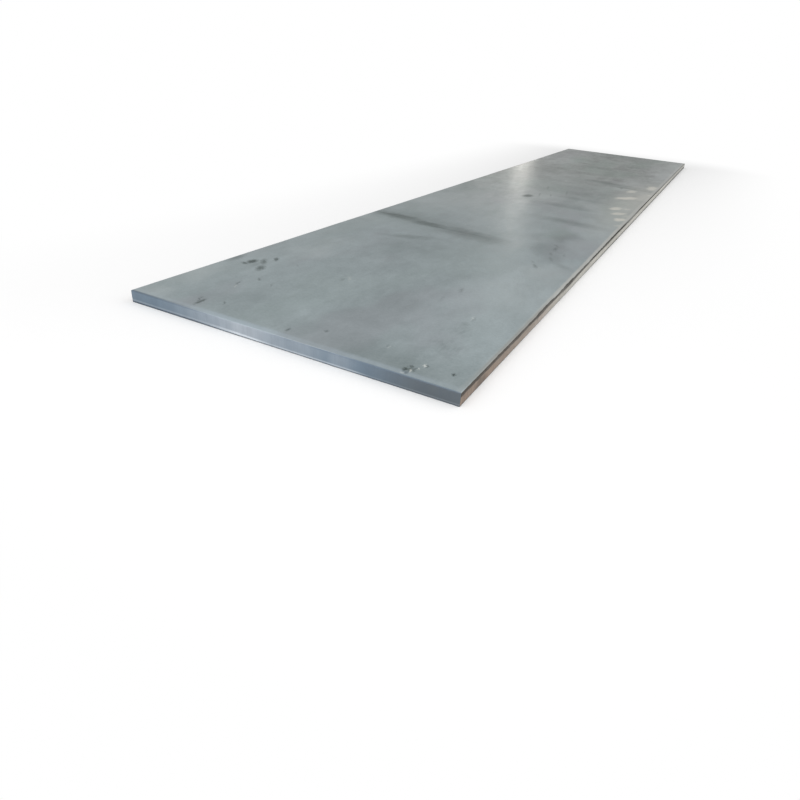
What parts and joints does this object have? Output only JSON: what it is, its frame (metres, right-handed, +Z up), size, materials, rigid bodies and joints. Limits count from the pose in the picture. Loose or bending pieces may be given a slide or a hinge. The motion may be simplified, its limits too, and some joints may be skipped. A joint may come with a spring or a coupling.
{
  "type": "steel plate",
  "caption": "Flat rectangular hot-rolled steel plate with cut edges, raw stock to be cut, drilled, bent or welded.",
  "frame": {"origin": "centre of the plate's underside", "axes": "+X across the plate, +Y along its length in the rolling direction, +Z up through its thickness"},
  "size_m": [1.25, 6, 0.045],
  "materials": {
    "hot_rolled_steel": "blue-grey mill scale on both faces, smooth grey cut ends, light rust on the cut long edges"
  },
  "bodies": {
    "root": {"steel_plate": "hot_rolled_steel"}
  },
  "joints": []
}
